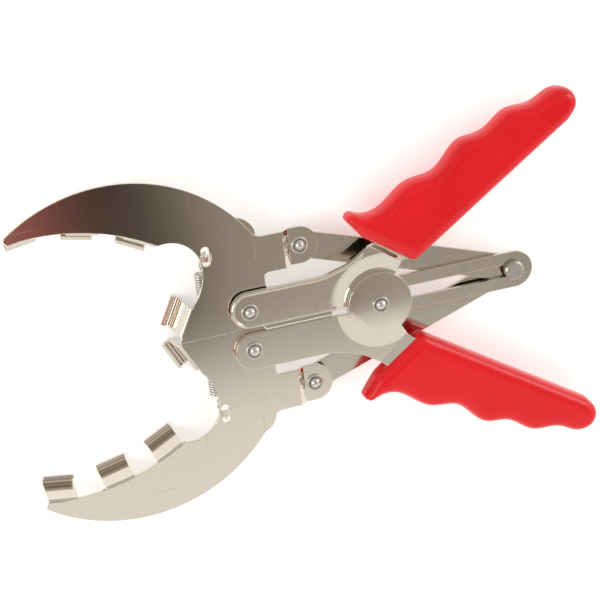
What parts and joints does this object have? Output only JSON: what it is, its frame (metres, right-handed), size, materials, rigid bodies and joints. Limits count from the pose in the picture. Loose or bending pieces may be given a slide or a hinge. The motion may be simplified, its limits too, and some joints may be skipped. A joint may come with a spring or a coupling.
{
  "type": "piston ring pliers",
  "caption": "Self-adjusting piston ring expander pliers: two curved jaws with bent finger tabs, spread by levers, links and a sliding pin when the red grips are squeezed.",
  "frame": {"origin": "centre of the bounding box, at its bottom: the plane of the finger tabs' undersides", "axes": "+X from the jaws to the handles, +Y from the lower to the upper jaw, +Z from the back to the front face"},
  "size_m": [0.2362, 0.1509, 0.0225],
  "materials": {
    "nickel_sheet": "nickel plated, satin with a fine grain",
    "bright_hardware": "bright plated",
    "spring_wire": "bright drawn wire",
    "red_grip": "glossy dipped vinyl"
  },
  "bodies": {
    "guide": {"guide_bar": "nickel_sheet", "main_rivet": "bright_hardware", "main_front_washer": "bright_hardware", "main_rear_washer": "bright_hardware", "main_spacer": "bright_hardware"},
    "upper_handle": {"upper_lever": "nickel_sheet", "upper_grip": "red_grip", "upper_jaw_rivet": "bright_hardware", "upper_jaw_washer": "bright_hardware", "upper_jaw_spacer": "bright_hardware"},
    "lower_handle": {"lower_lever": "nickel_sheet", "lower_grip": "red_grip", "lower_jaw_rivet": "bright_hardware", "lower_jaw_washer": "bright_hardware", "lower_jaw_spacer": "bright_hardware"},
    "upper_jaw_body": {"upper_jaw": "nickel_sheet", "upper_link_rivet": "bright_hardware", "upper_link_washer": "bright_hardware", "upper_link_spacer": "bright_hardware", "upper_backing_disc": "nickel_sheet"},
    "lower_jaw_body": {"lower_jaw": "nickel_sheet", "lower_link_rivet": "bright_hardware", "lower_link_washer": "bright_hardware", "lower_link_spacer": "bright_hardware", "lower_backing_disc": "nickel_sheet"},
    "slider": {"slide_pin": "bright_hardware", "slide_pin_washer": "bright_hardware"},
    "upper_link_body": {"upper_link": "nickel_sheet"},
    "lower_link_body": {"lower_link": "nickel_sheet"},
    "spring_upper_end": {"spring_upper_half": "spring_wire"},
    "spring_lower_end": {"spring_lower_half": "spring_wire"}
  },
  "joints": [
    {"name": "upper_handle_squeeze", "type": "hinge", "parent": "guide", "child": "upper_handle", "pos_m": [0.02753, 0, 0.0165], "axis": [0, 0, -1], "range_deg": [0, 15], "stiffness_Nm_per_rad": 0.6, "springref_deg": -20.05},
    {"name": "lower_handle_squeeze", "type": "hinge", "parent": "guide", "child": "lower_handle", "pos_m": [0.02753, 0, 0.0165], "axis": [0, 0, 1], "range_deg": [0, 15]},
    {"name": "upper_jaw_swing", "type": "hinge", "parent": "upper_handle", "child": "upper_jaw_body", "pos_m": [-0.02667, 0.00825, 0.0145], "axis": [0, 0, 1], "range_deg": [0, 22.5]},
    {"name": "lower_jaw_swing", "type": "hinge", "parent": "lower_handle", "child": "lower_jaw_body", "pos_m": [-0.02667, -0.00825, 0.0145], "axis": [0, 0, -1], "range_deg": [0, 22.5]},
    {"name": "pin_slide", "type": "slide", "parent": "guide", "child": "slider", "axis": [-1, 0, 0], "range_m": [0, 0.0066]},
    {"name": "upper_link_swing", "type": "hinge", "parent": "slider", "child": "upper_link_body", "pos_m": [0.08803, 0, 0.00935], "axis": [0, 0, -1], "range_deg": [0, 11.2]},
    {"name": "lower_link_swing", "type": "hinge", "parent": "slider", "child": "lower_link_body", "pos_m": [0.08803, 0, 0.00775], "axis": [0, 0, 1], "range_deg": [0, 11.2]},
    {"name": "spring_upper_stretch", "type": "slide", "parent": "guide", "child": "spring_upper_end", "axis": [0.0682, 0.9977, 0], "range_m": [0, 0.0118]},
    {"name": "spring_lower_stretch", "type": "slide", "parent": "guide", "child": "spring_lower_end", "axis": [0.0682, -0.9977, 0], "range_m": [0, 0.0118]}
  ],
  "couplings": [
    {"joint": "lower_handle_squeeze", "follows": "upper_handle_squeeze", "ratio": 1},
    {"joint": "upper_jaw_swing", "follows": "upper_handle_squeeze", "ratio": 1.5},
    {"joint": "lower_jaw_swing", "follows": "upper_handle_squeeze", "ratio": 1.5},
    {"joint": "pin_slide", "follows": "upper_handle_squeeze", "m_per_rad": 0.024918},
    {"joint": "upper_link_swing", "follows": "upper_handle_squeeze", "ratio": 0.7444},
    {"joint": "lower_link_swing", "follows": "upper_handle_squeeze", "ratio": 0.7444},
    {"joint": "spring_upper_stretch", "follows": "upper_handle_squeeze", "m_per_rad": 0.0448},
    {"joint": "spring_lower_stretch", "follows": "upper_handle_squeeze", "m_per_rad": 0.0448}
  ]
}
